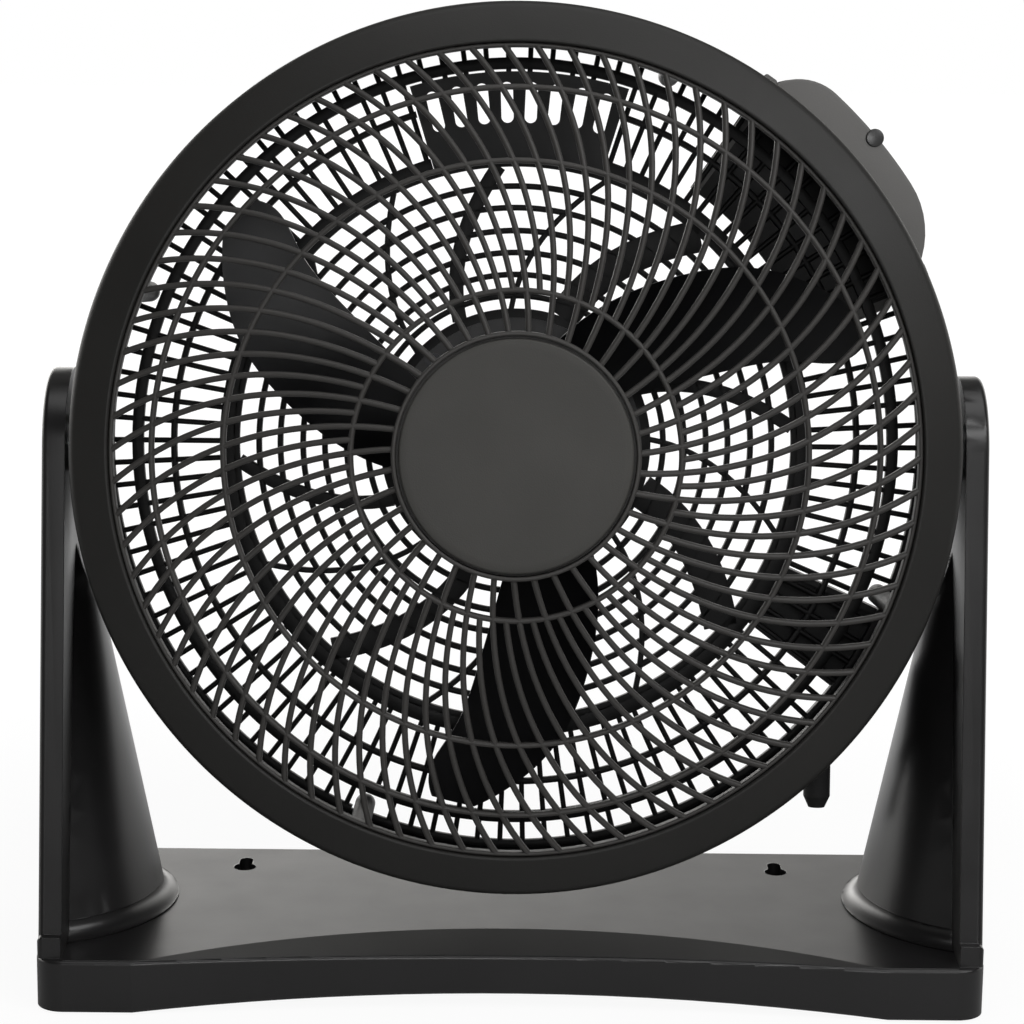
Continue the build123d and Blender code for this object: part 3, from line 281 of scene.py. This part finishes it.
def soften(node, width):
    """Rounds a CAD piece's sharp edges a little, as moulded edges are."""
    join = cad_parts[node].modifiers.new("join", "WELD")
    join.merge_threshold = 0.00001
    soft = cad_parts[node].modifiers.new("soft_edges", "BEVEL")
    soft.width = width * MM
    soft.segments = 2
    soft.limit_method = "ANGLE"
    soft.angle_limit = math.radians(35)
    soft.harden_normals = True


for node in ("left_column", "right_column"):
    soften(node, 0.5)
round_normals(stand_look, 0.7)

# ---- front bezel: a rounded ring with a fine lip ----
LIP_BACK = 45.0
TUBES = [68 + 90 * k for k in range(4)]  # the screw tubes' angles
TUBE_CIRCLE = 172.4
TUBE_RADIUS = 4.4
bezel = Shape()
bezel.ring(rounded([
    (RING, JOINT, 0.4), (RING, SHOULDER, 5.05), (OPENING, LIP_FRONT, 1.1), (OPENING, LIP_BACK, 0.3),
    (OPENING + WALL, LIP_BACK, 0.3), (OPENING + WALL, 46.8, 0.5),
    (RING - WALL, 41.4, 1.5), (RING - WALL, JOINT, 0.3),
], 8), steps=360)
for angle in TUBES:
    x, y = polar(TUBE_CIRCLE, angle)
    turns = np.linspace(0, 2 * math.pi, 32, endpoint=False)
    circle = [(x + TUBE_RADIUS * math.cos(a), y + TUBE_RADIUS * math.sin(a)) for a in turns]
    bezel.strip([[(u, v, f) for u, v in circle] for f in (JOINT, 40.0)])
bezel.make("front_bezel_ring", bezel_look, "head", ["front_bezel"])

# ---- front grille: spiral bars, thin rings, rim and hub ----
BAR_COUNT = 78
BAR_START = 50.1
SHORT_START = 67.5
BAR_END = 167.15
BAR_TURN = 21.3
BAR_BEND = 0.41  # share of a bar's turn that is made by its middle
BAR_ANGLE = 1.8
CROWN = 66.0
RIM_FRONT = 48.0
BAR_DEPTH = 4.0
CURVE = (BAR_END**2 - BAR_START**2) / (2 * (CROWN - RIM_FRONT))


def dome(radius):
    """How far forward the grille's dome is at this radius."""
    return CROWN - (radius**2 - BAR_START**2) / (2 * CURVE)


def bar_turn(radius):
    """How far a spiral bar has turned at this radius, in degrees."""
    share = (radius - BAR_START) / (BAR_END - BAR_START)
    return BAR_TURN * (share * (4 * BAR_BEND - 1) + share**2 * (2 - 4 * BAR_BEND))


section = bar_section(2.5, -BAR_DEPTH, 0.0, nose=1.2)
front = Shape()
for k in range(BAR_COUNT):
    begin = BAR_START if k % 2 == 0 else SHORT_START
    radii = np.linspace(begin, BAR_END, 26)
    line = [Vector((*polar(r, BAR_ANGLE + k * 360 / BAR_COUNT + bar_turn(r)), dome(r))) for r in radii]
    sections = []
    for i, p in enumerate(line):
        along = line[min(i + 1, len(line) - 1)] - line[max(i - 1, 0)]
        side = Vector((0, 0, 1)).cross(along).normalized()
        sections.append([(p.x + side.x * u, p.y + side.y * u, p.z + v) for u, v in section])
    front.strip(sections)
thin = bar_section(2.3, -BAR_DEPTH, 0.0, nose=1.1)
for radius in (SHORT_START, 120.0, 150.0):
    front.ring([(radius + u, dome(radius) + v) for u, v in thin], steps=240)
front.ring(rounded([
    (166.3, 42.0, 0.3), (170.7, 42.0, 0.3), (170.7, LIP_BACK, 0.2), (168.0, LIP_BACK, 0.1),
    (168.0, RIM_FRONT, 0.7), (166.3, RIM_FRONT, 0.7),
], 4), steps=360)
HUB_BACK = 58.0
HUB_SEAT = 60.0
hub_ring = [(49.2, HUB_BACK, 0.2), (51.0, HUB_BACK, 0.2), (51.0, 67.0, 0.8), (49.2, 67.0, 0.6)]
front.ring(rounded(hub_ring, 4), steps=240)
front.disc([(0, HUB_BACK), (50.0, HUB_BACK), (50.0, HUB_SEAT), (0, HUB_SEAT)])
front.make("front_grille_bars", bars_look, "head", ["front_grille"], angle=40)

# ---- hub cap: a plain disc, faintly dished ----
CAP_RADIUS = 48.0
cap = Shape()
dished = [(CAP_RADIUS * i / 12, 66.75 + 0.22 * (i / 12) ** 2) for i in range(12)]
edge = [(46.9, 66.97), (47.5, 66.8), (47.85, 66.45), (CAP_RADIUS, 65.9), (CAP_RADIUS, HUB_SEAT)]
inside = [(46.0, HUB_SEAT), (46.0, 65.0), (0, 65.0)]
cap.disc([*dished, *edge, *inside], steps=256)
cap.make("hub_cap_disc", cap_look, "head", ["hub_cap"], angle=50)

# ---- rear grille: outer ring, straight rods, round rings, swept spokes and motor mount ----
FRONT = BACK + 4.0
ROD_COUNT = 110
ROD_ENDS = (128.6, 175.4)
ROD_STOP = 166.8  # a rod that would meet a screw tube ends here
HANDLE_START = 159.0  # rods start here over the carry handle
HANDLE_ANGLES = (72.8, 107.2)
HANDLE_GAP = (107.2, 432.8)  # the way round that leaves the carry handle out
SPOKE_SWEEP = 21.0
SPOKE_BEND = 0.56  # share of a spoke's turn that is made by its middle
SPOKE_STEPS = 15
MOUNT_OUTER = 59.0
BAND_INNER = 120.3
BROAD_SPOKES = (6.0, 14.0, 6.4, 6.0, 6.0, 10.0, 6.0, 15.0)  # the widest may cover wires
SLIM_SPOKE = 2.4
rear = Shape()


def flat_ring(inner, outer, back=BACK, front=FRONT, start=0.0, end=360.0, steps=240, soft=0.5):
    """A ring of the rear grille with softened edges."""
    corners = [(inner, back, soft), (outer, back, soft), (outer, front, soft), (inner, front, soft)]
    rear.ring(rounded(corners, 2), steps, start, end)


def between(angle, low, high):
    """Whether an angle lies on the way round from low to high."""
    return (angle - low) % 360 < (high - low) % 360


for angle in TUBES:
    flat_ring(175.0, 176.4, start=angle + 1.6, end=angle + 88.4)
    flat_ring(175.6, 178.0, back=-27.5, start=angle + 1.6, end=angle + 88.4, soft=0.2)
flat_ring(162.2, 167.2, steps=360)
flat_ring(147.6, 150.4, start=HANDLE_GAP[0] + 0.1, end=HANDLE_GAP[1] - 0.1, soft=0.9)
flat_ring(BAND_INNER, 123.2, steps=240, soft=0.2)
flat_ring(122.0, 129.0, start=HANDLE_GAP[0], end=HANDLE_GAP[1])
for radius in (64.5, 73.7, 83.2, 92.7, 102.6, 111.9):
    flat_ring(radius - 1.3, radius + 1.3, steps=200, soft=0.9)
flat_ring(44.5, MOUNT_OUTER)
# a thin panel, which the CAD model doesn't have, is painted shade: a near-black sheet standing in for the
# shade inside the housing, so the light pod doesn't show between the rods
flat_ring(134.6, 184.0, back=BACK - 0.4, front=BACK + 0.6, start=22.0, end=54.5, soft=0.2)
rod = bar_section(2.3, BACK, FRONT, 1.0, 0.5)
for k in range(ROD_COUNT):
    angle = k * 360 / ROD_COUNT
    low, high = ROD_ENDS
    if between(angle, *HANDLE_ANGLES):
        low = HANDLE_START
    if any(abs((angle - t + 180) % 360 - 180) < 2.1 for t in TUBES):
        high = ROD_STOP
    ends = []
    for radius in (low, high):
        x, y = polar(radius, angle)
        sx, sy = polar(1, angle + 90)
        ends.append([(x + sx * u, y + sy * u, v) for u, v in rod])
    rear.strip(ends)
for pair in range(8):
    for offset, width in ((4.0 + pair * 45, BROAD_SPOKES[pair]), (26.5 + pair * 45, SLIM_SPOKE)):
        a = Vector(polar(BAND_INNER + 0.5, offset))
        b = Vector(polar((BAND_INNER + MOUNT_OUTER) / 2, offset + SPOKE_SWEEP * SPOKE_BEND))
        c = Vector(polar(MOUNT_OUTER - 0.5, offset + SPOKE_SWEEP))
        shape = bar_section(width, BACK, FRONT, 0.6, 0.5)
        line = []
        for i in range(SPOKE_STEPS):
            w = i / (SPOKE_STEPS - 1)
            line.append(a * (1 - w) * (1 - 2 * w) + b * 4 * w * (1 - w) + c * w * (2 * w - 1))
        sections = []
        for i, p in enumerate(line):
            along = line[min(i + 1, SPOKE_STEPS - 1)] - line[max(i - 1, 0)]
            side = Vector((-along.y, along.x)).normalized()
            sections.append([(p.x + side.x * u, p.y + side.y * u, v) for u, v in shape])
        rear.strip(sections)
rear.make("rear_grille_bars", grille_look, "head", ["rear_grille"], angle=40)

# ---- control pod: a shell, a darker cover that shows round its edge, and a latch ----
POD_RADII = (136.0, 206.9)
POD_ENDS = ((20.0, -1, 40.0), (56.0, 1, 25.0))  # angle, side, corner radius
POD_BACK = BACK - 18.0
COVER_BACK = POD_BACK - 2.5
EAR_PLACES = ((194.0, 55.6), (194.6, 23.6))
LATCH_PLACE = (204.9, 41.0)


def pod_outline(inset):
    """The pod's outline, drawn in by this much: arcs about the fan axis with a wide round at each end."""
    rounds = []
    for end, side, corner in POD_ENDS:
        centre = POD_RADII[1] - corner
        middle = end - side * math.degrees(math.asin(corner / centre))
        rounds.append([
            (Vector(polar(centre, middle)) + Vector(polar(corner - inset, turn)), middle)
            for turn in np.linspace(middle, end + side * 90, 16)
        ])
    low, high = rounds
    outer = [polar(POD_RADII[1] - inset, a) for a in np.linspace(low[0][1], high[0][1], 26)[1:-1]]
    turn = math.degrees(inset / POD_RADII[0])
    angles = np.linspace(POD_ENDS[1][0] - turn, POD_ENDS[0][0] + turn, 14)
    inner = [polar(POD_RADII[0] + inset, a) for a in angles]
    return [tuple(p) for p, _ in low[::-1]] + outer + [tuple(p) for p, _ in high] + inner


def slab(piece, outline, front, back, edge):
    """A plate of this outline with rounded edges."""
    sections = []
    for station, side in ((back, 1), (front, -1)):
        turns = np.linspace(0, math.pi / 2, 4)
        for a in turns if side > 0 else turns[::-1]:
            f = station + side * edge * (1 - math.cos(a))
            sections.append([(x, y, f) for x, y in outline(edge * (1 - math.sin(a)))])
    piece.strip(sections)


def ear(piece, radius, angle):
    """A small tab that stands out from the pod's end."""
    inner, half = radius - 8.0, 3.2
    corners = rounded([(inner, -half, 0), (radius, -half, 1.2), (radius, half, 1.2), (inner, half, 0)], 3)
    c, s = polar(1, angle)
    turned = [(u * c - v * s, u * s + v * c) for u, v in corners]
    piece.strip([[(x, y, f) for x, y in turned] for f in (BACK - 6.0, BACK)])


def catch_outline(inset):
    """The latch's round outline, drawn in by this much."""
    centre = Vector(polar(*LATCH_PLACE))
    return [tuple(centre + Vector(polar(4.0 - inset, a))) for a in range(0, 360, 12)]


shell = Shape()
slab(shell, lambda inset: pod_outline(inset + 0.9), BACK, POD_BACK, 1.2)
for place in EAR_PLACES:
    ear(shell, *place)
shell.make("pod_shell", pod_look, "head", ["pod_housing"], angle=40)
cover = Shape()
slab(cover, pod_outline, POD_BACK, COVER_BACK, 0.8)
cover.make("pod_back_cover", housing_look, "head", ["pod_cover"], angle=40)
latch = Shape()
slab(latch, catch_outline, BACK + 0.6, COVER_BACK + 0.7, 0.6)
latch.make("pod_catch", knob_look, "head", ["pod_latch"], angle=40)

# ---- floor and backdrop ----
def map_range(tree, source, from_low, from_high, to_low, to_high):
    """A Map Range node fed from a socket, as its own output socket."""
    node = tree.nodes.new("ShaderNodeMapRange")
    node.inputs["From Min"].default_value = from_low
    node.inputs["From Max"].default_value = from_high
    node.inputs["To Min"].default_value = to_low
    node.inputs["To Max"].default_value = to_high
    tree.links.new(source, node.inputs["Value"])
    return node.outputs["Result"]


def maths(tree, operation, first, second):
    """A Math node fed from two sockets, as its own output socket."""
    node = tree.nodes.new("ShaderNodeMath")
    node.operation = operation
    tree.links.new(first, node.inputs[0])
    tree.links.new(second, node.inputs[1])
    return node.outputs["Value"]


scene = bpy.context.scene
floor_mesh = bpy.data.meshes.new("floor")
floor_mesh.from_pydata([(-6, -6, 0), (6, -6, 0), (6, 6, 0), (-6, 6, 0)], [], [(0, 1, 2, 3)])
floor = bpy.data.objects.new("floor", floor_mesh)
scene.collection.objects.link(floor)
floor_look = bpy.data.materials.new("floor_look")
floor_look.use_nodes = True
tree = floor_look.node_tree
paint = tree.nodes["Principled BSDF"]
paint.inputs["Base Color"].default_value = (0.55, 0.55, 0.55, 1)
paint.inputs["Roughness"].default_value = 0.7
glow = tree.nodes.new("ShaderNodeEmission")
glow.inputs["Color"].default_value = (1, 1, 1, 1)
glow.inputs["Strength"].default_value = 1.08
rays = tree.nodes.new("ShaderNodeLightPath")
where = tree.nodes.new("ShaderNodeTexCoord")
reach = tree.nodes.new("ShaderNodeVectorMath")
reach.operation = "LENGTH"
tree.links.new(where.outputs["Object"], reach.inputs[0])
place = tree.nodes.new("ShaderNodeSeparateXYZ")
tree.links.new(where.outputs["Object"], place.inputs["Vector"])
# The floor's shadow fades out with distance, and the lit floor behind shows in the object's glossy parts.
seen = maths(tree, "MULTIPLY", rays.outputs["Is Camera Ray"],
             map_range(tree, reach.outputs["Value"], 0.3, 0.9, 0.86, 1.0))
mirrored = maths(tree, "MULTIPLY", rays.outputs["Is Glossy Ray"],
                 map_range(tree, place.outputs["Y"], 0.1, 0.5, 0.0, 0.9))
mixer = tree.nodes.new("ShaderNodeMixShader")
tree.links.new(maths(tree, "MAXIMUM", seen, mirrored), mixer.inputs["Fac"])
tree.links.new(paint.outputs["BSDF"], mixer.inputs[1])
tree.links.new(glow.outputs["Emission"], mixer.inputs[2])
tree.links.new(mixer.outputs["Shader"], tree.nodes["Material Output"].inputs["Surface"])
floor_mesh.materials.append(floor_look)

# ---- studio: a bright backdrop behind the object, a dim room in front ----
world = bpy.data.worlds.new("studio")
scene.world = world
world.use_nodes = True
sky = world.node_tree
studio = sky.nodes["Background"]
studio.inputs["Color"].default_value = (1.0, 0.985, 0.955, 1)
toward = sky.nodes.new("ShaderNodeTexCoord")
split = sky.nodes.new("ShaderNodeSeparateXYZ")
sky.links.new(toward.outputs["Generated"], split.inputs["Vector"])
# It is brightest low down at the back, and about twice as bright on the left as on the right.
depth = map_range(sky, split.outputs["Y"], -0.1, 0.5, 0.10, 1.7)
height = map_range(sky, split.outputs["Z"], 0.08, 0.43, 1.6, 0.08)
lean = map_range(sky, split.outputs["X"], -0.15, 0.15, 1.6, 0.75)
strength = maths(sky, "MULTIPLY", maths(sky, "MULTIPLY", depth, height), lean)
sky.links.new(strength, studio.inputs["Strength"])
white = sky.nodes.new("ShaderNodeBackground")
white.inputs["Color"].default_value = (1, 1, 1, 1)
white.inputs["Strength"].default_value = 1.0
path = sky.nodes.new("ShaderNodeLightPath")
blend = sky.nodes.new("ShaderNodeMixShader")
sky.links.new(path.outputs["Is Camera Ray"], blend.inputs["Fac"])
sky.links.new(studio.outputs["Background"], blend.inputs[1])
sky.links.new(white.outputs["Background"], blend.inputs[2])
sky.links.new(blend.outputs["Shader"], sky.nodes["World Output"].inputs["Surface"])


def soft_light(name, place, aim, size, power):
    """A rectangular soft lamp that points at a place."""
    data = bpy.data.lights.new(name, "AREA")
    data.shape = "RECTANGLE"
    data.size, data.size_y = size
    data.energy = power
    light = bpy.data.objects.new(name, data)
    light.location = place
    light.rotation_mode = "QUATERNION"
    light.rotation_quaternion = (Vector(aim) - Vector(place)).to_track_quat("-Z", "Y")
    scene.collection.objects.link(light)


soft_light("top_light", (0.15, -0.2, 1.5), (0, 0, 0.2), (1.4, 1.0), 8)
soft_light("key_light", (0.0, -1.6, 0.62), (0, 0, 0.18), (0.36, 0.36), 5.0)
soft_light("upper_light", (0.95, -1.0, 1.15), (0, 0, 0.25), (1.2, 0.5), 11)

# ---- camera: matched to the photo ----
AZIMUTH, ELEVATION, ROLL = math.radians(-0.283), math.radians(11.935), math.radians(0.656)
DISTANCE, AIM = 1.300, Vector((0.00003, 0, 0.191473))
level = math.cos(ELEVATION)
back = Vector((math.sin(AZIMUTH) * level, -math.cos(AZIMUTH) * level, math.sin(ELEVATION)))
right = Vector((math.cos(AZIMUTH), math.sin(AZIMUTH), 0))
up = back.cross(right)
turned_right = right * math.cos(ROLL) + up * math.sin(ROLL)
turned_up = up * math.cos(ROLL) - right * math.sin(ROLL)
IMAGE = 1024  # the photo's width and height in pixels
SENSOR = 36.0
lens = bpy.data.cameras.new("camera")
lens.sensor_width = SENSOR
lens.lens = 3020.8 * SENSOR / IMAGE
lens.shift_x = -2.742 / IMAGE
lens.shift_y = 20.09 / IMAGE
camera = bpy.data.objects.new("camera", lens)
scene.collection.objects.link(camera)
camera.matrix_world = Matrix((
    (turned_right.x, turned_up.x, back.x, AIM.x + back.x * DISTANCE),
    (turned_right.y, turned_up.y, back.y, AIM.y + back.y * DISTANCE),
    (turned_right.z, turned_up.z, back.z, AIM.z + back.z * DISTANCE),
    (0, 0, 0, 1),
))
scene.camera = camera
scene.view_settings.view_transform = "Standard"
